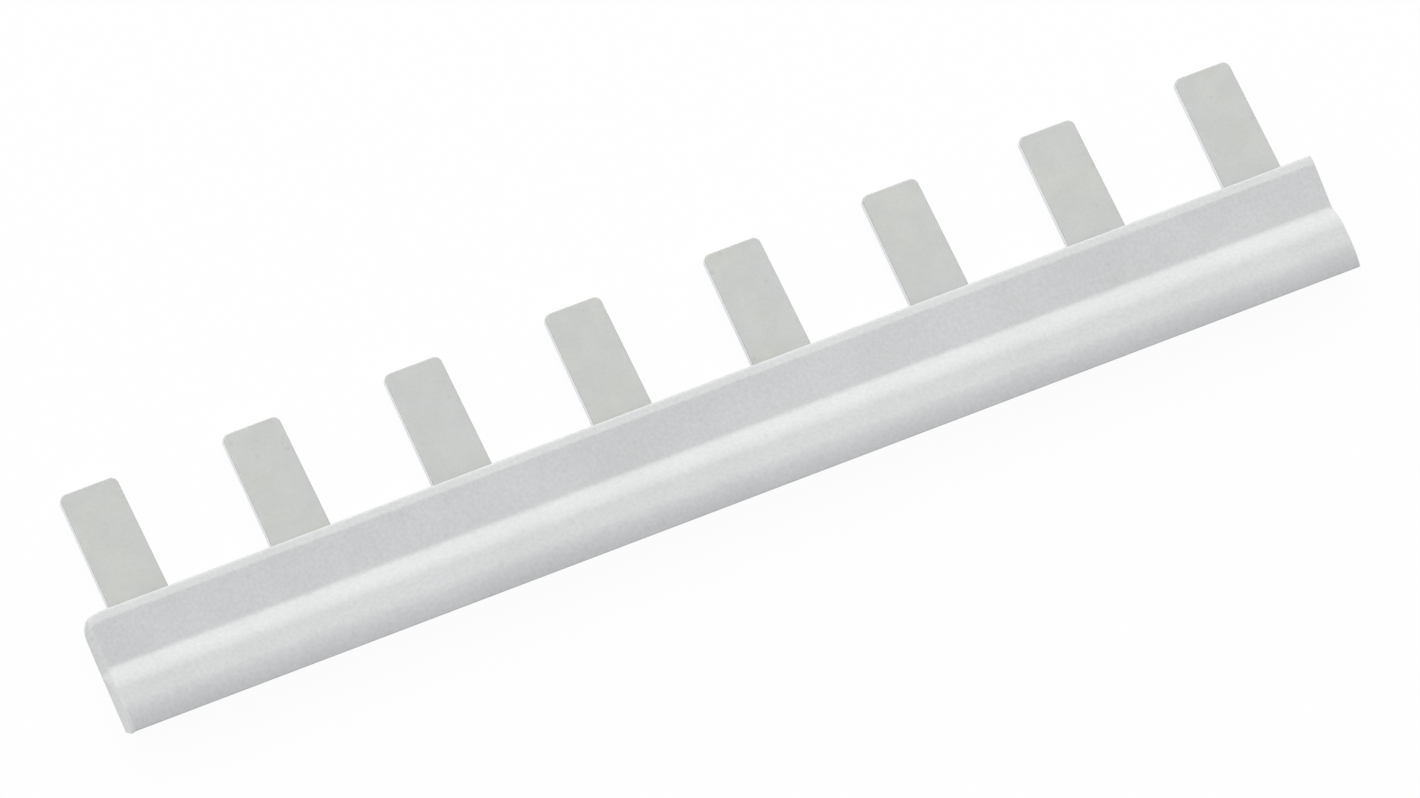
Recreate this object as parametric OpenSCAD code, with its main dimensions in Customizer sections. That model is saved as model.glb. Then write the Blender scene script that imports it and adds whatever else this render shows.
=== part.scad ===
// Comb-type jumper bar for a row of relay sockets. One stamped strip carries a row of
// flat blades, and its spine is pushed into the slot of a moulded insulating sleeve.
// The bar lies on its flat back: +X runs along the bar, +Y points out along the blades,
// and +Z points up through the front of the sleeve. All sizes are in millimetres.

/* [Comb] */
// Number of blades
blade_count = 8; // [2:1:16]
// Spacing of the blades, one socket wide
blade_pitch = 15.8; // [12:0.1:22]
// Width of a blade where it leaves the sleeve
blade_root_w = 5.7; // [4.5:0.1:8]
// Width of a blade across its tip
blade_tip_w = 5.45; // [4:0.05:7]
// Length of a blade beyond the lips
blade_reach = 11.1; // [6:0.1:16]
// Corner radius of a blade's tip
tip_r = 0.8; // [0.3:0.1:1.6]
// Fillet where a blade grows out of the spine
root_fillet = 0.3; // [0.1:0.05:0.8]
// Thickness of the stamped strip
strip_t = 0.8; // [0.5:0.05:1.2]
// Depth of the spine's edge below the lips
spine_cover = 0.35; // [0.2:0.05:2]
// Distance of the spine's end inside the trimmed end of the sleeve, at the lips
trimmed_end_recess = 1.3; // [1:0.05:2.5]

/* [Sleeve walls] */
// Height of the sleeve from the foot to the lips
sleeve_h = 11.5; // [9:0.1:16]
// Length of sleeve beyond the first blade, at the moulded end
moulded_margin = 3.35; // [2.8:0.05:8]
// Length of sleeve beyond the last blade, at the trimmed end
trimmed_margin = 2.75; // [2:0.05:8]
// Thickness of the back wall
back_wall = 0.7; // [0.6:0.05:1.6]
// Thickness of the front lip
lip_t = 0.85; // [0.7:0.05:1.6]
// Play of the strip in its slot
slot_clearance = 0.05; // [0.02:0.01:0.2]
// Thickness of plastic below the slot
floor_t = 2; // [1:0.1:3]
// Overhang of the front of the moulded end beyond its back
end_lap = 1.2; // [0.6:0.1:1.5]
// Thickness of the wall that closes the slot at the moulded end
end_wall = 0.9; // [0.6:0.1:1.2]
// Width of the bevel along the front lip and round to the moulded end
lip_bevel = 0.8; // [0.3:0.05:1.2]
// Lean of the bevel along the front lip and round to the moulded end
lip_lean = 14; // [5:1:20]
// Rounding of the lips' outer edges
lip_round = 0.35; // [0.1:0.05:0.4]
// Rounding of the slot's mouth
mouth_round = 0.1; // [0.05:0.05:0.3]
// Rounding of the lips' corner at the moulded end
end_round = 1.2; // [0.4:0.1:2]

/* [Sleeve nose] */
// Rise of the nose in front of the web
nose_rise = 1.25; // [0.8:0.05:2]
// Radius of the nose's front
nose_r = 5.2; // [4:0.1:9]
// Height of the nose's crest above the foot
nose_crest = 1.75; // [1:0.05:3]
// Width of the flat above the nose
nose_flat = 1.45; // [0.5:0.05:2]
// Lean of the flat above the nose
flat_lean = 10; // [5:1:15]
// Radius of the shoulder between the web and the flat
shoulder_r = 3.7; // [2.4:0.1:5]
// Slope of the foot, which rises towards the back
foot_slope = 20; // [5:1:25]
// Rounding of the foot's back edge
heel_round = 0.9; // [0.2:0.1:1.2]
// Angle of the trimmed end, off square
trim_angle = 4.7; // [0:0.1:8]

/* [Hidden] */
$fn = 64;

// Overrun of cutting shapes past the faces that they cut
over = 1;

// Length of the bar, and the height of its edges above the middle of its outline
sleeve_len = (blade_count - 1) * blade_pitch + blade_root_w + moulded_margin + trimmed_margin;
lip_y = (sleeve_h - blade_reach) / 2;
tip_y = lip_y + blade_reach;
foot_y = lip_y - sleeve_h;
spine_top_y = lip_y - spine_cover;
slot_x = -sleeve_len / 2 + end_lap + end_wall;
first_blade_x = -sleeve_len / 2 + moulded_margin + blade_root_w / 2;

// Depths through the sleeve, measured up from its flat back
slot_w = strip_t + slot_clearance;
lip_inner_z = back_wall + slot_w;
web_t = lip_inner_z + lip_t;
lip_top_z = web_t - lip_bevel * tan(lip_lean);

// Centre of the nose arc, the front edge of the foot, the two ends of the flat above the
// nose, the centre of the shoulder arc, and the height where the shoulder meets the web
nose = [foot_y + nose_crest, web_t + nose_rise - nose_r];
foot_z = nose.y + sqrt(nose_r * nose_r - nose_crest * nose_crest);
flat_out = [sin(flat_lean), cos(flat_lean)];
flat_low = nose + nose_r * flat_out;
flat_top = flat_low + nose_flat * [flat_out.y, -flat_out.x];
shoulder = flat_top - shoulder_r * flat_out;
crease_y = shoulder.x + sqrt(shoulder_r * shoulder_r - (web_t - shoulder.y) * (web_t - shoulder.y));

// Height of the sloping foot at a depth, and the slot's floor above it
function foot_at(z) = foot_y + (foot_z - z) * tan(foot_slope);
floor_y = foot_at(back_wall) + floor_t;
spine_mid_y = (floor_y + spine_top_y) / 2;

// Wedge between a corner and the arc that rounds it: taken away it rounds an outer
// corner, added it fills an inner one. The sides leave the corner along d1 and d2.
module corner_wedge(corner, d1, d2, r) {
    half = acos(d1 * d2) / 2;
    mid = (d1 + d2) / norm(d1 + d2);
    run = r / tan(half);
    difference() {
        polygon([corner + run * d1, corner - r / 4 * mid, corner + run * d2]);
        translate(corner + r / sin(half) * mid) circle(r = r);
    }
}

// Blade and its root in the plane of the strip, on the bar's middle line
module blade_outline() {
    root = blade_root_w / 2;
    tip = blade_tip_w / 2;
    edge = [root - tip, -blade_reach] / norm([root - tip, blade_reach]);
    difference() {
        polygon([
            [root, spine_mid_y], [root, lip_y], [tip, tip_y],
            [-tip, tip_y], [-root, lip_y], [-root, spine_mid_y]
        ]);
        corner_wedge([tip, tip_y], edge, [-1, 0], tip_r);
        corner_wedge([-tip, tip_y], [-edge.x, edge.y], [1, 0], tip_r);
    }
    corner_wedge([root, spine_top_y], [0, 1], [1, 0], root_fillet);
    corner_wedge([-root, spine_top_y], [-1, 0], [0, 1], root_fillet);
}

// Stamped strip: the spine with its row of blades, seated on the slot's floor and back
module contact_comb() {
    spine_x0 = slot_x + slot_clearance;
    spine_x1 = sleeve_len / 2 - trimmed_end_recess;
    color([0.77, 0.78, 0.76])
    translate([0, 0, back_wall])
    linear_extrude(strip_t)
    union() {
        translate([spine_x0, floor_y]) square([spine_x1 - spine_x0, spine_top_y - floor_y]);
        for (i = [0 : blade_count - 1]) {
            translate([first_blade_x + i * blade_pitch, 0]) blade_outline();
        }
    }
}

// Rounded nose in front of the web: the nose arc, the flat above it and the shoulder arc
module nose_section() {
    root_z = web_t - lip_t / 2;
    rise = nose_rise + lip_t / 2 + over;
    intersection() {
        translate(nose) circle(r = nose_r);
        translate([foot_y - over, root_z]) square([flat_low.x - foot_y + over, rise]);
    }
    polygon([[flat_low.x, root_z], [flat_top.x, root_z], flat_top, flat_low]);
    intersection() {
        translate(shoulder) circle(r = shoulder_r);
        translate([flat_top.x, root_z]) square([shoulder_r, rise]);
    }
}

// Cross-section of the sleeve without its slot, height across and depth up
module sleeve_section() {
    down = [-1, 0];
    foot_line = [-sin(foot_slope), cos(foot_slope)];
    lip_line = [-cos(lip_lean), sin(lip_lean)];
    difference() {
        union() {
            translate([foot_y - over, 0]) square([lip_y - foot_y + over, web_t]);
            nose_section();
        }
        // Bevel along the front lip
        polygon([
            [lip_y - lip_bevel, web_t], [lip_y, lip_top_z],
            [lip_y + over, lip_top_z], [lip_y + over, web_t + over]
        ]);
        // Sloping foot
        polygon([
            [foot_at(-over), -over], [foot_at(foot_z + over), foot_z + over],
            [foot_y - 3 * over, foot_z + over], [foot_y - 3 * over, -over]
        ]);
        // Rounded edges
        corner_wedge([lip_y, lip_top_z], lip_line, [0, -1], lip_round);
        corner_wedge([lip_y, 0], down, [0, 1], lip_round);
        corner_wedge([foot_at(0), 0], [1, 0], foot_line, heel_round);
    }
}

// Cross-section of the slot for the strip, with its rounded mouth
module slot_section() {
    down = [-1, 0];
    translate([floor_y, back_wall]) square([sleeve_h, slot_w]);
    corner_wedge([lip_y, lip_inner_z], down, [0, 1], mouth_round);
    corner_wedge([lip_y, back_wall], down, [0, -1], mouth_round);
}

// Sleeve: one end moulded shut, with a rounded and bevelled front that laps over its back,
// and the other trimmed through the open slot, out of square
module insulating_sleeve() {
    depth = web_t + nose_rise + 2 * over;
    color([0.80, 0.81, 0.81])
    difference() {
        translate([-sleeve_len / 2, 0, 0])
        rotate([90, 0, 90])
        linear_extrude(sleeve_len) sleeve_section();
        translate([slot_x, 0, 0])
        rotate([90, 0, 90])
        linear_extrude(sleeve_len) slot_section();
        // Rebate at the back of the moulded end, its rounded corner, and its bevelled front
        translate([-sleeve_len / 2 - over, foot_y - over, -over])
        cube([end_lap + over, sleeve_h + 2 * over, lip_inner_z + over]);
        translate([0, 0, -over])
        linear_extrude(depth) corner_wedge([-sleeve_len / 2, lip_y], [1, 0], [0, -1], end_round);
        translate([-sleeve_len / 2, crease_y, lip_top_z])
        rotate([0, -lip_lean, 0])
        translate([-over, 0, 0])
        cube([lip_bevel / cos(lip_lean) + over, sleeve_h, over]);
        // Trimmed end
        translate([sleeve_len / 2, lip_y, -over])
        rotate([0, 0, -trim_angle])
        translate([0, -2 * sleeve_h, 0])
        cube([sleeve_h, 4 * sleeve_h, depth]);
    }
}

contact_comb();
insulating_sleeve();
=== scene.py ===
"""Dressed model of a comb-type jumper bar for a row of relay sockets.

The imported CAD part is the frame. Two pieces stand for its two nodes: the stamped and
tinned contact comb, and the moulded sleeve that insulates its spine. Both are modelled
again here with rolled and cut edges and with the finishes of the real surfaces, and they
lie on a pale studio floor under soft light. Sizes are in millimetres until a mesh is
finished, and the axes are those of the CAD part: +X along the bar, +Y out along the
blades and +Z up through the front of the sleeve.
"""

import logging
import math
from abc import ABC, abstractmethod
from dataclasses import dataclass
from enum import Enum
from typing import NamedTuple

import bmesh
import bpy
from bmesh.types import BMEdge, BMesh, BMFace, BMVert
from bpy.types import Material, NodeTree, Object
from mathutils import Matrix, Vector

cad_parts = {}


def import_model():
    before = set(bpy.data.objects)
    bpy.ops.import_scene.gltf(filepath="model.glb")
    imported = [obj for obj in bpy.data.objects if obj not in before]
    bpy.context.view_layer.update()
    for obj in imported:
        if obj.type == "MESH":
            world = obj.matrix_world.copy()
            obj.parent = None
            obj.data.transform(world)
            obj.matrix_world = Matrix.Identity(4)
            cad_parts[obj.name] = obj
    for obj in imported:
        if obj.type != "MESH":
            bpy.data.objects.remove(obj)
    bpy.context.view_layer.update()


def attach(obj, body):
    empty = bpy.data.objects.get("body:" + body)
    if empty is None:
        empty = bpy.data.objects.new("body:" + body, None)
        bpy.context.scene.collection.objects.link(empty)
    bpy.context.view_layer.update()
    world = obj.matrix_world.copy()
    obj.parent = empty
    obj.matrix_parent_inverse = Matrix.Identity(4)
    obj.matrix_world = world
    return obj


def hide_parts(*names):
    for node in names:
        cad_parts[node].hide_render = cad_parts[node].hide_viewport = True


LOG = logging.getLogger("jumper_bar")

Colour = tuple[float, float, float]
Socket = bpy.types.NodeSocket

# A millimetre in the scene's metres
MM = 0.001
# The bar's only body
BODY = "root"
# Width of the photograph in pixels, and of the camera's sensor in millimetres
IMAGE_WIDTH = 1420
SENSOR_WIDTH = 36.0
X_AXIS = Vector((1.0, 0.0, 0.0))
# Edges that turn by more than this are shaded sharp
SHARP_ANGLE = math.radians(38.0)
# Slack in millimetres when places are compared
TINY = 1e-4
# Profile of a bevel that is part of a circle
ROUND = 0.5
# Material of a bevel that takes those of the faces beside it
NEXT_FACES = -1
# Vertex layer for the height that the sleeve's front has away from its moulded end
FRONT_HEIGHT = "front_height"


class Node(Enum):
    """CAD nodes that the dressed pieces stand for."""

    COMB = "contact_comb"
    SLEEVE = "insulating_sleeve"


class Slot(Enum):
    """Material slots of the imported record."""

    TIN = "tinned_strip"
    PLASTIC = "grey_sleeve"


class Face(Enum):
    """Places of the finishes in a piece's list of materials."""

    SKIN = 0
    CUT = 1


# Shader nodes


class NodeBoard:
    """A node tree, with short ways to add nodes and join them."""

    def __init__(self, tree: NodeTree) -> None:
        """Starts from an empty tree.

        Args:
            tree: The node tree of a material, a world or a group.
        """
        self.tree = tree
        tree.nodes.clear()

    def add(self, kind: str, **settings: object) -> bpy.types.Node:
        """Adds a node.

        Args:
            kind: Blender's type name of the node.
            settings: Properties of the node.

        Returns:
            The new node.
        """
        node = self.tree.nodes.new(kind)
        for name, value in settings.items():
            setattr(node, name, value)
        return node

    def feed(self, socket: Socket, value: object) -> None:
        """Links an output to a socket, or writes a plain value on it.

        Args:
            socket: The input socket.
            value: An output socket, a number or a tuple of numbers.
        """
        if isinstance(value, Socket):
            self.tree.links.new(value, socket)
        else:
            socket.default_value = value

    def math(self, operation: str, *terms: object) -> Socket:
        """Adds a Math node.

        Args:
            operation: Blender's name of the operation.
            terms: Output sockets or numbers.

        Returns:
            The node's output.
        """
        node = self.add("ShaderNodeMath", operation=operation)
        for socket, term in zip(node.inputs, terms):
            self.feed(socket, term)
        return node.outputs["Value"]

    def spread(self, value: Socket, low: float, high: float) -> Socket:
        """Maps a value from 0..1 to a range.

        Args:
            value: The output socket to map.
            low: The result at 0.
            high: The result at 1.

        Returns:
            The mapped value.
        """
        return self.math("MULTIPLY_ADD", value, high - low, low)

    def vary(self, value: Socket, contrast: float) -> Socket:
        """Turns a value from 0..1 into a factor around 1.

        Args:
            value: The output socket to map.
            contrast: How far the factor goes to either side of 1.

        Returns:
            The factor.
        """
        return self.spread(value, 1 - contrast, 1 + contrast)

    def product(self, *factors: Socket) -> Socket:
        """Multiplies values.

        Args:
            factors: The output sockets to multiply.

        Returns:
            The product.
        """
        result, *others = factors
        for factor in others:
            result = self.math("MULTIPLY", result, factor)
        return result

    def noise(self, vector: Socket, scale: Socket, detail: float, roughness: float) -> Socket:
        """Adds a noise texture.

        Args:
            vector: The coordinates.
            scale: Number of grains in a metre.
            detail: Number of finer layers.
            roughness: Share of each finer layer.

        Returns:
            The noise, from 0 to 1.
        """
        node = self.add("ShaderNodeTexNoise")
        self.feed(node.inputs["Vector"], vector)
        self.feed(node.inputs["Scale"], scale)
        node.inputs["Detail"].default_value = detail
        node.inputs["Roughness"].default_value = roughness
        return node.outputs["Fac"]

    def smooth_step(self, value: Socket, low: float, high: float) -> Socket:
        """Maps a value to a soft step.

        Args:
            value: The output socket to map.
            low: The value where the step starts.
            high: The value where the step ends.

        Returns:
            0 before the step, 1 after it.
        """
        node = self.add("ShaderNodeMapRange", interpolation_type="SMOOTHSTEP")
        self.feed(node.inputs["Value"], value)
        node.inputs["From Min"].default_value = low
        node.inputs["From Max"].default_value = high
        return node.outputs["Result"]

    def turned(self, vector: Socket, angles: tuple[float, float, float]) -> Socket:
        """Turns coordinates.

        Args:
            vector: The coordinates.
            angles: Angles about X, Y and Z, in radians.

        Returns:
            The turned coordinates.
        """
        node = self.add("ShaderNodeMapping")
        self.feed(node.inputs["Vector"], vector)
        node.inputs["Rotation"].default_value = angles
        return node.outputs["Vector"]

    def mixed_shaders(self, share: Socket, one: Socket, two: Socket) -> Socket:
        """Mixes two shaders.

        Args:
            share: Share of the second shader.
            one: The first shader.
            two: The second shader.

        Returns:
            The mixed shader.
        """
        node = self.add("ShaderNodeMixShader")
        self.feed(node.inputs["Fac"], share)
        self.feed(node.inputs[1], one)
        self.feed(node.inputs[2], two)
        return node.outputs["Shader"]

    def tinted(self, colour: Colour, tone: Socket) -> Socket:
        """Multiplies a colour by a tone.

        Args:
            colour: The plain colour.
            tone: A value near 1.

        Returns:
            The toned colour.
        """
        node = self.add("ShaderNodeVectorMath", operation="SCALE")
        node.inputs[0].default_value = colour
        self.feed(node.inputs["Scale"], tone)
        return node.outputs["Vector"]

    def group(self, tree: NodeTree, **values: object) -> bpy.types.Node:
        """Places a shared effect.

        Args:
            tree: The effect's node group.
            values: Output sockets or numbers for its named inputs.

        Returns:
            The group node.
        """
        node = self.add("ShaderNodeGroup", node_tree=tree)
        for name, value in values.items():
            self.feed(node.inputs[name], value)
        return node


class Effects:
    """Shader node groups that the finishes share."""

    # Specks: how many lie across a grain, their radius and the draw above which one shows
    SPECK_DENSITY = 0.22
    SPECK_RADIUS = 0.16
    SPECK_DRAW = 0.8
    # Finer layers of each noise, and the share that each layer has
    GRAIN_DETAIL = 2.0
    LINE_DETAIL = 3.0
    CLOUD_DETAIL = 3.0
    EVEN_ROUGHNESS = 0.5
    CLOUD_ROUGHNESS = 0.55
    # Noise levels between which a cloud goes from 0 to 1
    CLOUD_LEVELS = (0.3, 0.7)

    def __init__(self) -> None:
        """Builds each group once."""
        self.grain = self._fine_grain()
        self.lines = self._drawn_lines()
        self.cloud = self._cloud_tone()

    @staticmethod
    def _start(
        name: str, settings: list[str], outputs: list[str]
    ) -> tuple[NodeBoard, bpy.types.Node, bpy.types.Node]:
        """Makes an empty group with its sockets.

        Args:
            name: The group's name.
            settings: Names of the value inputs, which follow the input Vector.
            outputs: Names of the value outputs.

        Returns:
            The board, the group's input node and its output node.
        """
        tree = bpy.data.node_groups.new(name, "ShaderNodeTree")
        tree.interface.new_socket("Vector", in_out="INPUT", socket_type="NodeSocketVector")
        for label in settings:
            tree.interface.new_socket(label, in_out="INPUT", socket_type="NodeSocketFloat")
        for label in outputs:
            tree.interface.new_socket(label, in_out="OUTPUT", socket_type="NodeSocketFloat")
        board = NodeBoard(tree)
        return board, board.add("NodeGroupInput"), board.add("NodeGroupOutput")

    def _fine_grain(self) -> NodeTree:
        """Even fine grain, and sparse specks in it.

        Returns:
            A group with the outputs Grain and Specks, both from 0 to 1.
        """
        board, given, out = self._start("fine_grain", ["Fineness"], ["Grain", "Specks"])
        place, fineness = given.outputs["Vector"], given.outputs["Fineness"]
        grain = board.noise(place, fineness, self.GRAIN_DETAIL, self.EVEN_ROUGHNESS)
        board.feed(out.inputs["Grain"], grain)
        cells = board.add("ShaderNodeTexVoronoi")
        board.feed(cells.inputs["Vector"], place)
        board.feed(cells.inputs["Scale"], board.math("MULTIPLY", fineness, self.SPECK_DENSITY))
        dots = board.math("LESS_THAN", cells.outputs["Distance"], self.SPECK_RADIUS)
        draw = board.add("ShaderNodeSeparateColor")
        board.feed(draw.inputs["Color"], cells.outputs["Color"])
        sparse = board.math("GREATER_THAN", draw.outputs["Red"], self.SPECK_DRAW)
        board.feed(out.inputs["Specks"], board.product(dots, sparse))
        return board.tree

    def _drawn_lines(self) -> NodeTree:
        """Fine lines along X, as a die or a rolling mill leaves them.

        Returns:
            A group with the output Lines, from 0 to 1.
        """
        board, given, out = self._start("drawn_lines", ["Fineness", "Stretch"], ["Lines"])
        ratio = board.add("ShaderNodeCombineXYZ")
        board.feed(ratio.inputs["X"], board.math("DIVIDE", 1.0, given.outputs["Stretch"]))
        ratio.inputs["Y"].default_value = 1.0
        ratio.inputs["Z"].default_value = 1.0
        drawn = board.add("ShaderNodeVectorMath", operation="MULTIPLY")
        board.feed(drawn.inputs[0], given.outputs["Vector"])
        board.feed(drawn.inputs[1], ratio.outputs["Vector"])
        lines = board.noise(
            drawn.outputs["Vector"],
            given.outputs["Fineness"],
            self.LINE_DETAIL,
            self.EVEN_ROUGHNESS,
        )
        board.feed(out.inputs["Lines"], lines)
        return board.tree

    def _cloud_tone(self) -> NodeTree:
        """Slow drift of tone over a surface.

        Returns:
            A group with the output Cloud, from 0 to 1.
        """
        board, given, out = self._start("cloud_tone", ["Fineness"], ["Cloud"])
        noise = board.noise(
            given.outputs["Vector"],
            given.outputs["Fineness"],
            self.CLOUD_DETAIL,
            self.CLOUD_ROUGHNESS,
        )
        board.feed(out.inputs["Cloud"], board.smooth_step(noise, *self.CLOUD_LEVELS))
        return board.tree


# Finishes


class Ground(NamedTuple):
    """What a finish is made with: a board, the shared effects and the Object coordinates."""

    board: NodeBoard
    effects: Effects
    place: Socket


class Surface(NamedTuple):
    """What a finish hands to its shader."""

    colour: Socket
    gloss: Socket
    height: Socket


@dataclass(frozen=True, kw_only=True)
class Finish(ABC):
    """What every finish has, and how its material is built round one Principled shader."""

    name: str
    colour: Colour
    roughness: float
    relief_depth: float
    metallic: float = 0.0
    refraction: float = 1.5

    @abstractmethod
    def surface(self, ground: Ground) -> Surface:
        """Adds the nodes of the surface.

        Args:
            ground: What the nodes are made with.

        Returns:
            The colour, the gloss and the height of the surface.
        """

    def make(self, effects: Effects) -> Material:
        """Builds the material.

        Args:
            effects: The shared node groups.

        Returns:
            The new material.
        """
        material = bpy.data.materials.new(self.name)
        material.use_nodes = True
        board = NodeBoard(material.node_tree)
        place = board.add("ShaderNodeTexCoord").outputs["Object"]
        surface = self.surface(Ground(board, effects, place))
        bump = board.add("ShaderNodeBump")
        board.feed(bump.inputs["Distance"], self.relief_depth * MM)
        board.feed(bump.inputs["Height"], surface.height)
        shader = board.add("ShaderNodeBsdfPrincipled")
        board.feed(shader.inputs["Base Color"], surface.colour)
        board.feed(shader.inputs["Roughness"], surface.gloss)
        board.feed(shader.inputs["Metallic"], self.metallic)
        board.feed(shader.inputs["IOR"], self.refraction)
        board.feed(shader.inputs["Normal"], bump.outputs["Normal"])
        out = board.add("ShaderNodeOutputMaterial")
        board.feed(out.inputs["Surface"], shader.outputs["BSDF"])
        return material


@dataclass(frozen=True, kw_only=True)
class GrainedFinish(Finish):
    """A finish with fine grain, faint lines along the bar, specks and a drift of tone."""

    grain_fineness: float
    grain_contrast: float
    line_fineness: float
    line_stretch: float
    line_contrast: float
    line_height: float
    cloud_fineness: float
    cloud_contrast: float
    speck_contrast: float
    gloss_drift: float
    gloss_grain: float

    def surface(self, ground: Ground) -> Surface:
        """Adds the nodes of the surface.

        Args:
            ground: What the nodes are made with.

        Returns:
            The colour, the gloss and the height of the surface.
        """
        board, effects, place = ground
        grain = board.group(effects.grain, Vector=place, Fineness=self.grain_fineness)
        cloud = board.group(effects.cloud, Vector=place, Fineness=self.cloud_fineness)
        lines = board.group(
            effects.lines, Vector=place, Fineness=self.line_fineness, Stretch=self.line_stretch
        )
        tone = board.product(
            board.vary(grain.outputs["Grain"], self.grain_contrast),
            board.vary(cloud.outputs["Cloud"], self.cloud_contrast),
            board.vary(lines.outputs["Lines"], self.line_contrast),
            board.spread(grain.outputs["Specks"], 1.0, 1.0 - self.speck_contrast),
        )
        drift = board.spread(
            cloud.outputs["Cloud"],
            self.roughness - self.gloss_drift,
            self.roughness + self.gloss_drift,
        )
        ripple = board.spread(grain.outputs["Grain"], -self.gloss_grain, self.gloss_grain)
        height = board.math(
            "MULTIPLY_ADD", lines.outputs["Lines"], self.line_height, grain.outputs["Grain"]
        )
        gloss = board.math("ADD", drift, ripple)
        return Surface(self.tinge(ground, tone), gloss, height)

    def tinge(self, ground: Ground, tone: Socket) -> Socket:
        """Gives the tone the finish's colour."""
        return ground.board.tinted(self.colour, tone)


@dataclass(frozen=True, kw_only=True)
class SatinPlastic(GrainedFinish):
    """Satin skin of the sleeve: fine grain, and faint lines along its length."""

    name: str = "satin_plastic"
    colour: Colour = (0.588, 0.596, 0.606)
    roughness: float = 0.36
    refraction: float = 1.6
    relief_depth: float = 0.01
    grain_fineness: float = 3000.0
    grain_contrast: float = 0.12
    line_fineness: float = 5200.0
    line_stretch: float = 90.0
    line_contrast: float = 0.02
    line_height: float = 0.5
    cloud_fineness: float = 130.0
    cloud_contrast: float = 0.025
    speck_contrast: float = 0.06
    gloss_drift: float = 0.03
    gloss_grain: float = 0.05


@dataclass(frozen=True, kw_only=True)
class SawnPlastic(Finish):
    """Cut end of the sleeve: paler, rougher, and scored by the saw."""

    name: str = "sawn_plastic"
    colour: Colour = (0.62, 0.635, 0.65)
    roughness: float = 0.6
    relief_depth: float = 0.02
    saw_turn: tuple[float, float, float] = (0.0, math.radians(62.0), math.radians(90.0))
    score_fineness: float = 4200.0
    score_stretch: float = 40.0
    score_contrast: float = 0.08
    grain_fineness: float = 5000.0
    grain_contrast: float = 0.06
    gloss_score: float = 0.1

    def surface(self, ground: Ground) -> Surface:
        """Adds the nodes of the surface.

        Args:
            ground: What the nodes are made with.

        Returns:
            The colour, the gloss and the height of the surface.
        """
        board, effects, place = ground
        scores = board.group(
            effects.lines,
            Vector=board.turned(place, self.saw_turn),
            Fineness=self.score_fineness,
            Stretch=self.score_stretch,
        ).outputs["Lines"]
        grain = board.group(effects.grain, Vector=place, Fineness=self.grain_fineness)
        tone = board.product(
            board.vary(scores, self.score_contrast),
            board.vary(grain.outputs["Grain"], self.grain_contrast),
        )
        gloss = board.spread(
            scores, self.roughness - self.gloss_score, self.roughness + self.gloss_score
        )
        return Surface(board.tinted(self.colour, tone), gloss, scores)


@dataclass(frozen=True, kw_only=True)
class MattTin(GrainedFinish):
    """Matt tin plating on a rolled strip: finely grained, faintly yellow in places."""

    name: str = "matt_tin"
    colour: Colour = (0.472, 0.485, 0.484)
    stain: Colour = (0.477, 0.488, 0.474)
    stain_fineness: float = 260.0
    metallic: float = 1.0
    roughness: float = 0.7
    relief_depth: float = 0.005
    grain_fineness: float = 3200.0
    grain_contrast: float = 0.09
    line_fineness: float = 6000.0
    line_stretch: float = 25.0
    line_contrast: float = 0.02
    line_height: float = 0.6
    cloud_fineness: float = 420.0
    cloud_contrast: float = 0.006
    speck_contrast: float = 0.06
    gloss_drift: float = 0.03
    gloss_grain: float = 0.05

    def tinge(self, ground: Ground, tone: Socket) -> Socket:
        """Gives the tone the colour of the tin, and of its stains in places.

        Args:
            ground: What the nodes are made with.
            tone: The tone of the surface.

        Returns:
            The colour.
        """
        board, effects, place = ground
        stains = board.group(effects.cloud, Vector=place, Fineness=self.stain_fineness)
        blend = board.add("ShaderNodeMix", data_type="RGBA")
        board.feed(blend.inputs["Factor"], stains.outputs["Cloud"])
        board.feed(blend.inputs["A"], board.tinted(self.colour, tone))
        board.feed(blend.inputs["B"], board.tinted(self.stain, tone))
        return blend.outputs["Result"]


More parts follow.
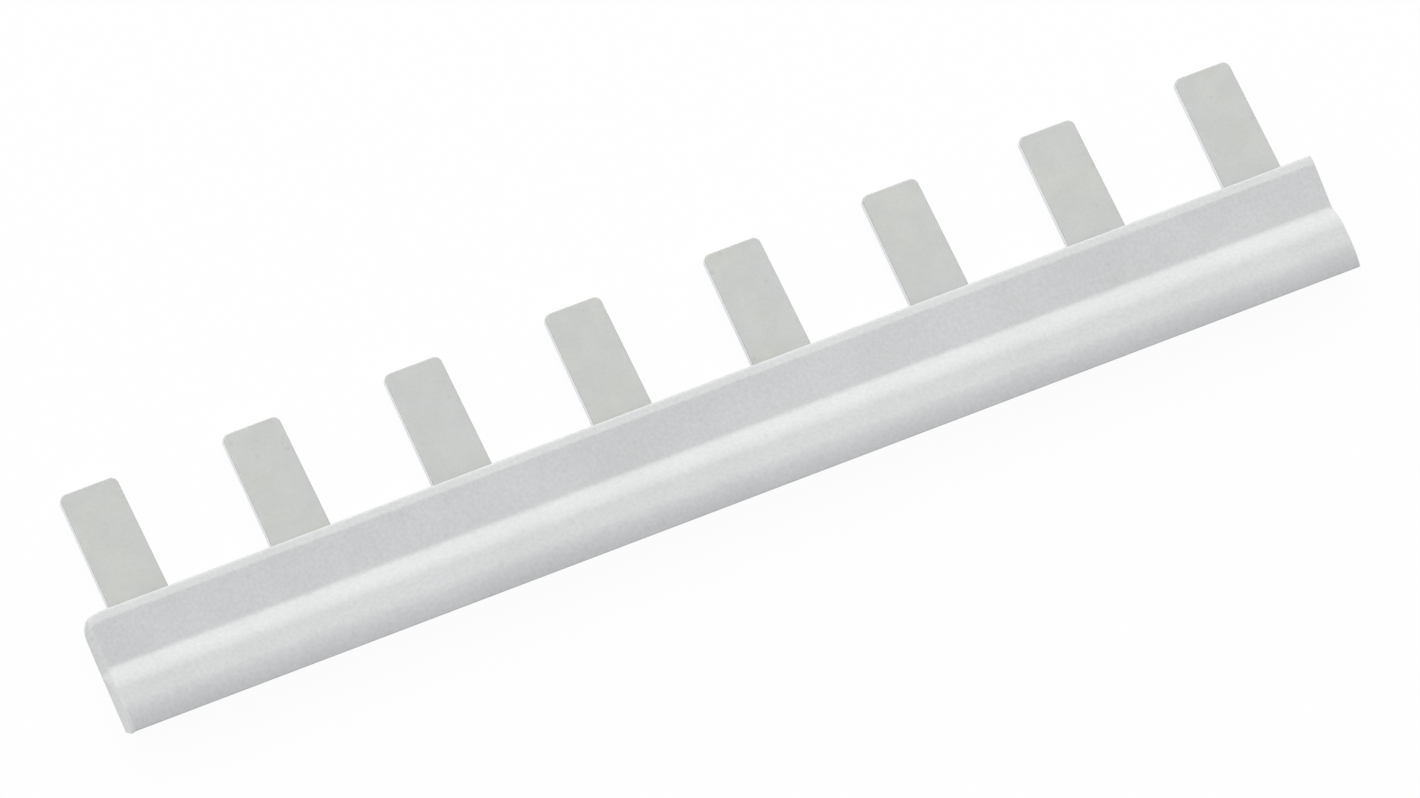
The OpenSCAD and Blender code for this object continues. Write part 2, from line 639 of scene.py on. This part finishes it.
@dataclass(frozen=True, kw_only=True)
class PunchedTin(Finish):
    """Punched edge of the strip: burnished near the front face, broken and dull behind it, with
    painted sheen in its pale colour.
    """

    # Heights of the strip's faces in millimetres
    back_z: float
    front_z: float
    name: str = "punched_tin_and_sheen"
    # Pale bluish colour: partly the bare burnished metal, partly painted sheen that stands in
    # for the bright reflection the walls catch from the floor and from the side
    colour: Colour = (0.76, 0.77, 0.79)
    metallic: float = 1.0
    roughness: float = 0.5
    relief_depth: float = 0.01
    # Shares of the thickness between which the break gives way to the burnish
    break_ends: float = 0.34
    burnish_starts: float = 0.5
    break_wander: float = 0.12
    wander_fineness: float = 900.0
    broken_tone: float = 0.95
    broken_roughness: float = 0.7
    score_turn: tuple[float, float, float] = (0.0, math.radians(90.0), 0.0)
    score_fineness: float = 7000.0
    score_stretch: float = 30.0
    score_contrast: float = 0.03

    def surface(self, ground: Ground) -> Surface:
        """Adds the nodes of the surface.

        Args:
            ground: What the nodes are made with.

        Returns:
            The colour, the gloss and the height of the surface.
        """
        board, effects, place = ground
        burnish = self._burnish(ground)
        scores = board.group(
            effects.lines,
            Vector=board.turned(place, self.score_turn),
            Fineness=self.score_fineness,
            Stretch=self.score_stretch,
        ).outputs["Lines"]
        tone = board.product(
            board.spread(burnish, self.broken_tone, 1.0), board.vary(scores, self.score_contrast)
        )
        gloss = board.spread(burnish, self.broken_roughness, self.roughness)
        return Surface(board.tinted(self.colour, tone), gloss, scores)

    def _burnish(self, ground: Ground) -> Socket:
        """Finds the part of the edge that the punch burnished.

        Args:
            ground: What the nodes are made with.

        Returns:
            0 on the broken part and 1 on the burnished part, with a ragged border.
        """
        board, effects, place = ground
        split = board.add("ShaderNodeSeparateXYZ")
        board.feed(split.inputs["Vector"], place)
        wander = board.group(effects.cloud, Vector=place, Fineness=self.wander_fineness)
        ragged = board.math(
            "MULTIPLY_ADD", wander.outputs["Cloud"], self.break_wander * MM, split.outputs["Z"]
        )
        thickness = self.front_z - self.back_z
        low = (self.back_z + self.break_ends * thickness) * MM
        high = (self.back_z + self.burnish_starts * thickness) * MM
        return board.smooth_step(ragged, low, high)


# Meshes


class OutlinePen:
    """Draws a closed outline in a bmesh by extruding and spinning one vertex."""

    def __init__(self, bm: BMesh, start: Vector) -> None:
        """Sets the pen down.

        Args:
            bm: The bmesh to draw in.
            start: The first point.
        """
        self.bm = bm
        self.first = bmesh.ops.create_vert(bm, co=start)["vert"][0]
        self.tip = self.first

    def line_to(self, point: Vector) -> BMVert:
        """Extrudes the pen's vertex to a point.

        Args:
            point: Where the line ends.

        Returns:
            The vertex at the line's end.
        """
        self.tip = bmesh.ops.extrude_vert_indiv(self.bm, verts=[self.tip])["verts"][0]
        bmesh.ops.translate(self.bm, vec=point - self.tip.co, verts=[self.tip])
        return self.tip

    def arc(self, centre: Vector, angle: float, steps: int) -> BMVert:
        """Spins the pen's vertex about an axis along X.

        Args:
            centre: A point on the axis.
            angle: The angle to spin through, in radians.
            steps: Number of edges in the arc.

        Returns:
            The vertex at the arc's end.
        """
        made = bmesh.ops.spin(
            self.bm,
            geom=[self.tip],
            cent=centre,
            axis=X_AXIS,
            angle=angle,
            steps=steps,
            use_merge=False,
        )
        self.tip = next(g for g in made["geom_last"] if isinstance(g, BMVert))
        return self.tip

    def fill(self) -> BMFace:
        """Closes the outline and fills it.

        Returns:
            The outline's face.
        """
        bmesh.ops.contextual_create(self.bm, geom=[self.tip, self.first])
        return bmesh.ops.contextual_create(self.bm, geom=self.bm.edges[:])["faces"][0]


def round_corners(bm: BMesh, corners: list[BMVert], radius: float, steps: int) -> None:
    """Rounds corners of a flat outline.

    Args:
        bm: The outline's bmesh.
        corners: Vertices to round, which all have the same angle.
        radius: Radius of the rounding.
        steps: Number of edges in each arc.
    """
    one, two = (e.other_vert(corners[0]).co - corners[0].co for e in corners[0].link_edges)
    bmesh.ops.bevel(
        bm,
        geom=corners,
        offset=radius / math.tan(one.angle(two) / 2),
        offset_type="OFFSET",
        affect="VERTICES",
        segments=steps,
        profile=ROUND,
        material=NEXT_FACES,
    )


def ease_edges(bm: BMesh, edges: list[BMEdge], width: float, steps: int) -> list[BMFace]:
    """Rolls over sharp edges of a solid.

    Args:
        bm: The solid's bmesh.
        edges: Edges to roll over.
        width: Width taken from each face.
        steps: Number of faces across the roll.

    Returns:
        The faces of the rolls.
    """
    made = bmesh.ops.bevel(
        bm,
        geom=edges,
        offset=width,
        offset_type="OFFSET",
        affect="EDGES",
        segments=steps,
        profile=ROUND,
        material=NEXT_FACES,
    )
    return made["faces"]


def finish_piece(bm: BMesh, name: str) -> Object:
    """Turns a solid in millimetres into a piece of the object.

    Args:
        bm: The solid, which is freed.
        name: The piece's name.

    Returns:
        The new object, which rides on the bar's only body.
    """
    bmesh.ops.recalc_face_normals(bm, faces=bm.faces[:])
    for face in bm.faces:
        face.smooth = True
    for edge in bm.edges:
        edge.smooth = edge.calc_face_angle(0.0) < SHARP_ANGLE
    bmesh.ops.scale(bm, vec=(MM, MM, MM), verts=bm.verts[:])
    mesh = bpy.data.meshes.new(name)
    bm.to_mesh(mesh)
    bm.free()
    piece = bpy.data.objects.new(name, mesh)
    bpy.context.scene.collection.objects.link(piece)
    weighted = piece.modifiers.new("flat_faces_stay_flat", "WEIGHTED_NORMAL")
    weighted.keep_sharp = True
    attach(piece, BODY)
    return piece


@dataclass
class BarSizes:
    """Sizes that the comb and the sleeve share, in millimetres."""

    blade_count: int = 8
    pitch: float = 15.8
    root_width: float = 5.75
    moulded_margin: float = 3.325
    trimmed_margin: float = 2.725
    lip_y: float = 0.25
    foot_y: float = -11.33
    slot_floor_y: float = -8.337
    end_lap: float = 1.2
    end_wall: float = 0.9
    back_wall: float = 0.7
    strip: float = 0.8
    slot_play: float = 0.05

    @property
    def half_length(self) -> float:
        """Half of the sleeve's length."""
        comb = (self.blade_count - 1) * self.pitch + self.root_width
        return (comb + self.moulded_margin + self.trimmed_margin) / 2

    @property
    def first_blade_x(self) -> float:
        """Place of the first blade's middle line."""
        return self.moulded_margin + self.root_width / 2 - self.half_length

    @property
    def slot_x(self) -> float:
        """Place of the wall that closes the slot at the moulded end."""
        return self.end_lap + self.end_wall - self.half_length

    @property
    def lip_inner(self) -> float:
        """Height of the front lip's inner face above the sleeve's back."""
        return self.back_wall + self.strip + self.slot_play


@dataclass
class Part(ABC):
    """One of the two pieces of the bar."""

    bar: BarSizes

    @abstractmethod
    def build(self) -> Object:
        """Models the piece.

        Returns:
            The piece.
        """

    @abstractmethod
    def dress(self, piece: Object, effects: Effects) -> None:
        """Gives the piece its finishes, and hides the CAD node that it stands for.

        Args:
            piece: The piece.
            effects: The shared node groups.
        """


@dataclass
class ContactComb(Part):
    """Stamped strip: a spine in the sleeve's slot, and a row of blades that stand out of it."""

    tip_width: float = 5.5
    tip_y: float = 11.3
    tip_radius: float = 0.65
    tip_steps: int = 10
    root_fillet: float = 0.3
    fillet_steps: int = 5
    spine_top_y: float = -0.15
    trimmed_recess: float = 1.3
    front_roll: float = 0.13
    front_roll_steps: int = 3
    back_roll: float = 0.04
    back_roll_steps: int = 2

    def build(self) -> Object:
        """Models the comb.

        Returns:
            The piece.
        """
        bm = bmesh.new()
        self._outline(bm)
        made = bmesh.ops.extrude_face_region(bm, geom=bm.faces[:])
        raised = [g for g in made["geom"] if isinstance(g, BMVert)]
        bmesh.ops.translate(bm, vec=(0.0, 0.0, self.bar.strip), verts=raised)
        self._roll_edges(bm)
        return finish_piece(bm, "comb_strip")

    def _outline(self, bm: BMesh) -> None:
        """Draws the strip's back face.

        Args:
            bm: The bmesh to draw in.
        """
        bar = self.bar
        left = bar.slot_x + bar.slot_play
        right = bar.half_length - self.trimmed_recess
        pen = OutlinePen(bm, Vector((left, bar.slot_floor_y, bar.back_wall)))
        tips, roots = [], []

        def line(x: float, y: float) -> BMVert:
            """Draws to a point on the strip's back face."""
            return pen.line_to(Vector((x, y, bar.back_wall)))

        line(right, bar.slot_floor_y)
        line(right, self.spine_top_y)
        for i in reversed(range(bar.blade_count)):
            middle = bar.first_blade_x + i * bar.pitch
            roots.append(line(middle + bar.root_width / 2, self.spine_top_y))
            line(middle + bar.root_width / 2, bar.lip_y)
            tips.append(line(middle + self.tip_width / 2, self.tip_y))
            tips.append(line(middle - self.tip_width / 2, self.tip_y))
            line(middle - bar.root_width / 2, bar.lip_y)
            roots.append(line(middle - bar.root_width / 2, self.spine_top_y))
        line(left, self.spine_top_y)
        pen.fill()
        round_corners(bm, tips, self.tip_radius, self.tip_steps)
        round_corners(bm, roots, self.root_fillet, self.fillet_steps)

    def _roll_edges(self, bm: BMesh) -> None:
        """Rolls the punched edges over and marks the punched walls.

        Args:
            bm: The sharp solid.
        """
        bmesh.ops.recalc_face_normals(bm, faces=bm.faces[:])
        front = max(bm.faces, key=lambda face: face.normal.z)
        back = min(bm.faces, key=lambda face: face.normal.z)
        for face in bm.faces:
            face.material_index = Face.CUT.value
        for face in (front, back):
            face.material_index = Face.SKIN.value
        front_edges, back_edges = front.edges[:], back.edges[:]
        for face in ease_edges(bm, front_edges, self.front_roll, self.front_roll_steps):
            face.material_index = Face.SKIN.value
        back_edges = [e for e in back_edges if e.is_valid]
        for face in ease_edges(bm, back_edges, self.back_roll, self.back_roll_steps):
            face.material_index = Face.CUT.value

    def dress(self, piece: Object, effects: Effects) -> None:
        """Gives the comb its plating.

        Args:
            piece: The comb.
            effects: The shared node groups.
        """
        front_z = self.bar.back_wall + self.bar.strip
        piece.data.materials.append(MattTin().make(effects))
        edge = PunchedTin(back_z=self.bar.back_wall, front_z=front_z)
        piece.data.materials.append(edge.make(effects))
        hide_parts(Node.COMB.value)


@dataclass
class InsulatingSleeve(Part):
    """Moulded profile with a slot for the spine, a flat web and a rounded nose."""

    lip: float = 0.85
    lip_bevel: float = 0.95
    lip_lean: float = math.radians(11.0)
    lip_round: float = 0.35
    bevel_round: float = 1.0
    mouth_round: float = 0.1
    nose_rise: float = 1.4
    nose_radius: float = 5.2
    nose_crest: float = 1.75
    nose_flat: float = 1.45
    flat_lean: float = math.radians(8.5)
    shoulder_radius: float = 3.7
    crease_fillet: float = 1.2
    foot_slope: float = math.radians(20.0)
    heel_round: float = 0.9
    toe_round: float = 0.1
    # First step of the nose's arc, as a multiple of the toe's rounding, which has to fit in it
    toe_step: float = 1.2
    trim_angle: float = math.radians(4.7)
    corner_depth: float = 2.0
    lip_dip: float = 0.15
    end_lean: float = math.radians(-1.5)
    rim_width: float = 0.66
    nose_rim_width: float = 0.24
    rim_slope: float = 1.35
    rim_soft: float = 0.08
    trimmed_roll: float = 0.08
    # Numbers of edges in the arcs, and of stations along the moulded end
    arc_steps: int = 18
    fillet_steps: int = 8
    bevel_steps: int = 4
    mouth_steps: int = 5
    toe_steps: int = 5
    roll_steps: int = 3
    end_steps: int = 24

    @property
    def web(self) -> float:
        """Height of the web's front above the sleeve's back."""
        return self.bar.lip_inner + self.lip

    def build(self) -> Object:
        """Models the sleeve.

        Returns:
            The piece.
        """
        bar = self.bar
        bm = bmesh.new()
        bm.verts.layers.float.new(FRONT_HEIGHT)
        section = self._section(bm, bar.slot_x)
        self._lap_front(bm, self._part_end(bm, self._close_slot(bm, section)))
        self._draw_out(bm, section, 2 * bar.half_length)
        self._trim(bm)
        bm.verts.layers.float.remove(bm.verts.layers.float[FRONT_HEIGHT])
        return finish_piece(bm, "sleeve_profile")

    @staticmethod
    def _draw_out(bm: BMesh, face: BMFace, length: float) -> BMFace:
        """Extrudes a face along the bar.

        Args:
            bm: The sleeve's bmesh.
            face: The face to extrude.
            length: How far the face goes, towards +X.

        Returns:
            The face at its new place.
        """
        # With its edges, the face moves and leaves none behind
        made = bmesh.ops.extrude_face_region(bm, geom=[face, *face.edges])
        moved = next(g for g in made["geom"] if isinstance(g, BMFace))
        bmesh.ops.translate(bm, vec=(length, 0.0, 0.0), verts=moved.verts[:])
        return moved

    def _section(self, bm: BMesh, x: float) -> BMFace:
        """Draws the section through the slot.

        Args:
            bm: The bmesh to draw in.
            x: Where the section stands along the bar.

        Returns:
            The section's face.
        """
        bar, web, lean = self.bar, self.web, self.flat_lean
        # Nose, from the toe to the flat
        nose = Vector((x, bar.foot_y + self.nose_crest, web + self.nose_rise - self.nose_radius))
        toe_lean = -math.asin(self.nose_crest / self.nose_radius)
        toe_z = nose.z + self.nose_radius * math.cos(toe_lean)
        toe_turn = self.toe_step * self.toe_round / self.nose_radius
        pen = OutlinePen(bm, Vector((x, bar.foot_y, toe_z)))
        pen.arc(nose, -toe_turn, 1)
        pen.arc(nose, toe_lean + toe_turn - lean, self.arc_steps)
        # Flat, shoulder, and the fillet that runs out into the web
        out = Vector((0.0, math.sin(lean), math.cos(lean)))
        flat_top = nose + self.nose_radius * out + self.nose_flat * Vector((0.0, out.z, -out.y))
        shoulder = flat_top - self.shoulder_radius * out
        rise = web + self.crease_fillet - shoulder.z
        crease_lean = math.acos(rise / (self.shoulder_radius + self.crease_fillet))
        crease_y = shoulder.y + rise * math.tan(crease_lean)
        pen.line_to(flat_top)
        pen.arc(shoulder, lean - crease_lean, self.arc_steps)
        pen.arc(Vector((x, crease_y, web + self.crease_fillet)), crease_lean, self.fillet_steps)
        # Lips, slot and back
        lip_top = web - self.lip_bevel * math.tan(self.lip_lean)
        heel_y = bar.foot_y + toe_z * math.tan(self.foot_slope)
        bevel = pen.line_to(Vector((x, bar.lip_y - self.lip_bevel, web)))
        front_lip = pen.line_to(Vector((x, bar.lip_y, lip_top)))
        front_mouth = pen.line_to(Vector((x, bar.lip_y, bar.lip_inner)))
        pen.line_to(Vector((x, bar.slot_floor_y, bar.lip_inner)))
        pen.line_to(Vector((x, bar.slot_floor_y, bar.back_wall)))
        back_mouth = pen.line_to(Vector((x, bar.lip_y, bar.back_wall)))
        back_lip = pen.line_to(Vector((x, bar.lip_y, 0.0)))
        heel = pen.line_to(Vector((x, heel_y, 0.0)))
        pen.fill()
        round_corners(bm, [bevel], self.bevel_round, self.bevel_steps)
        round_corners(bm, [front_lip], self.lip_round, self.fillet_steps)
        round_corners(bm, [back_lip], self.lip_round, self.fillet_steps)
        round_corners(bm, [front_mouth, back_mouth], self.mouth_round, self.mouth_steps)
        round_corners(bm, [heel], self.heel_round, self.fillet_steps)
        round_corners(bm, [pen.first], self.toe_round, self.toe_steps)
        # The section is the only face so far
        return next(iter(bm.faces))

    def _close_slot(self, bm: BMesh, section: BMFace) -> BMFace:
        """Walls the slot up behind the section.

        Args:
            bm: The sleeve's bmesh.
            section: The section through the slot, which stays where it is.

        Returns:
            The face of the whole section, ready to be drawn out towards the moulded end.
        """
        bar = self.bar
        rims = (bar.back_wall - self.mouth_round, bar.lip_inner + self.mouth_round)
        mouth = [
            min(section.verts, key=lambda v: abs(v.co.y - bar.lip_y) + abs(v.co.z - rim))
            for rim in rims
        ]
        slot = [
            edge
            for edge in section.edges
            if all(rims[0] - TINY < v.co.z < rims[1] + TINY for v in edge.verts)
            and min(v.co.y for v in edge.verts) > bar.slot_floor_y - TINY
        ]
        bridge = bmesh.ops.contextual_create(bm, geom=mouth)["edges"]
        wall = bmesh.ops.contextual_create(bm, geom=slot + bridge)["faces"]
        whole = [section, *wall, *section.edges, *bridge]
        made = bmesh.ops.extrude_face_region(bm, geom=whole, use_keep_orig=True)
        drawn = [g for g in made["geom"] if isinstance(g, BMFace)]
        return bmesh.ops.dissolve_faces(bm, faces=drawn)["region"][0]

    def _rim_height(self, z: float, left: float) -> float:
        """Tells how high the front stands near the moulded end.

        Args:
            z: Height of the front away from the end.
            left: Distance to the end.

        Returns:
            The height there, where the rim slopes down towards the end.
        """
        up_the_nose = min(1.0, max(0.0, (z - self.web) / self.nose_rise))
        width = self.rim_width + (self.nose_rim_width - self.rim_width) * up_the_nose
        ramp = max(0.0, width - left)
        drop = self.rim_slope * ramp ** 2 / (ramp + self.rim_soft)
        return z - drop * min(1.0, (z - self.bar.lip_inner) / self.lip)

    def _lips(self, face: BMFace) -> list[BMVert]:
        """Finds the part of a section that the rounding of the lip's corner moves.

        Args:
            face: The section.

        Returns:
            Its vertices near the lips.
        """
        return [v for v in face.verts if v.co.y > self.bar.lip_y - 2 * self.corner_depth]

    def _part_end(self, bm: BMesh, end: BMFace) -> BMFace:
        """Makes the wall that closes the slot, and parts its front from its back.

        Args:
            bm: The sleeve's bmesh.
            end: The face of the whole section at the slot's wall.

        Returns:
            The face of the front.
        """
        bar = self.bar
        bmesh.ops.translate(bm, vec=(-bar.end_wall, 0.0, 0.0), verts=end.verts[:])
        bmesh.ops.rotate(
            bm,
            cent=(bar.slot_x - bar.end_wall, (bar.lip_y + bar.foot_y) / 2, 0.0),
            matrix=Matrix.Rotation(self.end_lean, 3, "Z"),
            verts=end.verts[:],
        )
        bmesh.ops.translate(bm, vec=(0.0, -self.lip_dip, 0.0), verts=self._lips(end))
        split = bmesh.ops.bisect_plane(
            bm,
            geom=end.verts[:] + end.edges[:] + [end],
            plane_co=(0.0, 0.0, bar.lip_inner),
            plane_no=(0.0, 0.0, 1.0),
        )
        halves = [g for g in split["geom"] if isinstance(g, BMFace)]
        return max(halves, key=lambda face: face.calc_center_median().z)

    def _lap_front(self, bm: BMesh, front: BMFace) -> None:
        """Laps the front over the back, with a rounded corner at the lip and a sloping rim.

        Args:
            bm: The sleeve's bmesh.
            front: The face of the front at the closed end.
        """
        bar = self.bar
        height = bm.verts.layers.float[FRONT_HEIGHT]
        for vert in front.verts:
            vert[height] = vert.co.z
        before, sunk = bar.end_lap, 0.0
        for i in range(1, self.end_steps + 1):
            angle = i / self.end_steps * math.pi / 2
            left = bar.end_lap * (1 - math.sin(angle))
            drop = self.corner_depth * (1 - math.cos(angle))
            front = self._draw_out(bm, front, left - before)
            bmesh.ops.translate(bm, vec=(0.0, sunk - drop, 0.0), verts=self._lips(front))
            for vert in front.verts:
                rise = self._rim_height(vert[height], left) - vert.co.z
                bmesh.ops.translate(bm, vec=(0.0, 0.0, rise), verts=[vert])
            before, sunk = left, drop

    def _trim(self, bm: BMesh) -> None:
        """Saws the open end off out of square, marks it and rolls the sawn rim over.

        Args:
            bm: The sleeve's bmesh, which is longer than the sleeve at this end.
        """
        bar = self.bar
        cut = bmesh.ops.bisect_plane(
            bm,
            geom=bm.verts[:] + bm.edges[:] + bm.faces[:],
            plane_co=(bar.half_length, bar.lip_y, 0.0),
            plane_no=(math.cos(self.trim_angle), -math.sin(self.trim_angle), 0.0),
            clear_outer=True,
        )
        rim = [g for g in cut["geom_cut"] if isinstance(g, BMEdge)]
        sawn = bmesh.ops.contextual_create(bm, geom=rim)["faces"][0]
        sawn.material_index = Face.CUT.value
        bmesh.ops.recalc_face_normals(bm, faces=bm.faces[:])
        ease_edges(bm, sawn.edges[:], self.trimmed_roll, self.roll_steps)

    def dress(self, piece: Object, effects: Effects) -> None:
        """Gives the sleeve its skin and its sawn end.

        Args:
            piece: The sleeve.
            effects: The shared node groups.
        """
        piece.data.materials.append(SatinPlastic().make(effects))
        piece.data.materials.append(SawnPlastic().make(effects))
        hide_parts(Node.SLEEVE.value)


# Studio


@dataclass(frozen=True)
class SoftLamp:
    """Square soft lamp, aimed at the middle of the bar.

    Its level is the brightness of a white surface that faces it, where 1 is white.
    """

    name: str
    towards: tuple[float, float, float]
    distance: float
    width: float
    level: float
    tint: Colour = (1.0, 0.982, 0.945)

    def hang(self) -> Object:
        """Makes the lamp.

        Returns:
            The lamp's object.
        """
        data = bpy.data.lights.new(self.name, "AREA")
        data.shape = "SQUARE"
        data.size = self.width
        data.color = self.tint
        data.energy = self.level * (math.pi * self.distance) ** 2
        lamp = bpy.data.objects.new(self.name, data)
        way = Vector(self.towards).normalized()
        lamp.location = way * self.distance
        lamp.rotation_euler = way.to_track_quat("Z", "Y").to_euler()
        lamp.visible_camera = False
        bpy.context.scene.collection.objects.link(lamp)
        return lamp


LAMPS = (
    SoftLamp("key_lamp", (-0.35, 0.72, 0.6), distance=3.0, width=4.0, level=0.64),
    SoftLamp(
        "shoulder_lamp",
        (0.34, 0.88, 0.34),
        distance=1.1,
        width=1.3,
        level=0.56,
        tint=(1.0, 0.98, 0.94),
    ),
    SoftLamp("fill_lamp", (0.7, 0.35, 0.62), distance=0.45, width=0.25, level=0.07),
    SoftLamp("end_lamp", (-0.94, 0.0, 0.34), distance=1.2, width=0.6, level=0.12),
)


@dataclass
class Studio:
    """Pale floor, soft light and the camera of the photograph."""

    floor_half: float = 12.0
    floor_colour: Colour = (0.92, 0.92, 0.92)
    floor_white: float = 0.95
    sky_colour: Colour = (0.955, 0.978, 1.0)
    sky_level: float = 0.52
    camera_swing: float = math.radians(20.0)
    camera_dip: float = math.radians(-14.09)
    camera_roll: float = math.radians(-25.72)
    camera_distance: float = 1.438
    # Focal length in pixels of the photograph
    camera_focal: float = 16404.0
    # The point in the middle of the picture, in millimetres
    camera_aim: tuple[float, float, float] = (0.28, -1.12, 1.5)
    camera_range: tuple[float, float] = (0.05, 60.0)

    def build(self) -> None:
        """Sets up the floor, the light and the camera."""
        self._floor()
        self._sky()
        for lamp in LAMPS:
            lamp.hang()
        self._camera()
        bpy.context.scene.view_settings.view_transform = "Standard"

    @staticmethod
    def _shown(board: NodeBoard) -> Socket:
        """Tells the rays that see the background from those that only carry light.

        Args:
            board: The board to add the nodes to.

        Returns:
            1 for camera, glossy and transmission rays, and 0 for others.
        """
        path = board.add("ShaderNodeLightPath")
        seen = path.outputs["Is Camera Ray"]
        for kind in ("Is Glossy Ray", "Is Transmission Ray"):
            seen = board.math("MAXIMUM", seen, path.outputs[kind])
        return seen

    def _floor(self) -> None:
        """Lays the floor, whose white lets the bar's shadow through."""
        bm = bmesh.new()
        bmesh.ops.create_grid(bm, x_segments=1, y_segments=1, size=self.floor_half)
        mesh = bpy.data.meshes.new("studio_floor")
        bm.to_mesh(mesh)
        bm.free()
        floor = bpy.data.objects.new("studio_floor", mesh)
        bpy.context.scene.collection.objects.link(floor)
        material = bpy.data.materials.new("pale_floor")
        material.use_nodes = True
        board = NodeBoard(material.node_tree)
        matt = board.add("ShaderNodeBsdfDiffuse")
        matt.inputs["Color"].default_value = (*self.floor_colour, 1.0)
        glow = board.add("ShaderNodeEmission")
        share = board.math("MULTIPLY", self._shown(board), self.floor_white)
        mix = board.mixed_shaders(share, matt.outputs["BSDF"], glow.outputs["Emission"])
        board.feed(board.add("ShaderNodeOutputMaterial").inputs["Surface"], mix)
        mesh.materials.append(material)

    def _sky(self) -> None:
        """Makes a world that is white to look at and soft as a light."""
        world = bpy.data.worlds.new("studio_sky")
        world.use_nodes = True
        board = NodeBoard(world.node_tree)
        soft = board.add("ShaderNodeBackground")
        soft.inputs["Color"].default_value = (*self.sky_colour, 1.0)
        soft.inputs["Strength"].default_value = self.sky_level
        white = board.add("ShaderNodeBackground")
        white.inputs["Color"].default_value = (1.0, 1.0, 1.0, 1.0)
        mix = board.mixed_shaders(
            self._shown(board), soft.outputs["Background"], white.outputs["Background"]
        )
        board.feed(board.add("ShaderNodeOutputWorld").inputs["Surface"], mix)
        bpy.context.scene.world = world

    def _camera(self) -> None:
        """Places the camera where the photograph was taken from."""
        data = bpy.data.cameras.new("photo_camera")
        data.sensor_fit = "HORIZONTAL"
        data.sensor_width = SENSOR_WIDTH
        data.lens = self.camera_focal / IMAGE_WIDTH * SENSOR_WIDTH
        data.clip_start, data.clip_end = self.camera_range
        camera = bpy.data.objects.new("photo_camera", data)
        bpy.context.scene.collection.objects.link(camera)
        swing = Matrix.Rotation(-self.camera_swing, 4, "Y")
        dip = Matrix.Rotation(-self.camera_dip, 4, "X")
        roll = Matrix.Rotation(self.camera_roll, 4, "Z")
        turn = swing @ dip @ roll
        back = turn.to_3x3() @ Vector((0.0, 0.0, 1.0))
        place = Vector(self.camera_aim) * MM + back * self.camera_distance
        camera.matrix_world = Matrix.Translation(place) @ turn
        bpy.context.scene.camera = camera


def corners(box: tuple[Vector, Vector]) -> list[list[float]]:
    """Turns a box into plain lists.

    Args:
        box: Its lowest and highest corner.

    Returns:
        The two corners as lists of numbers.
    """
    return [list(box[0]), list(box[1])]


def main() -> None:
    """Builds the pieces in order, dresses them and sets up the studio."""
    logging.basicConfig(level=logging.INFO, format="%(name)s: %(message)s")
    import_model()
    effects = Effects()
    bar = BarSizes()
    parts: tuple[Part, ...] = (ContactComb(bar), InsulatingSleeve(bar))
    for part in parts:
        piece = part.build()
        part.dress(piece, effects)
        LOG.info("%s has %d faces", piece.name, len(piece.data.polygons))
    Studio().build()


if __name__ == "__main__":
    main()
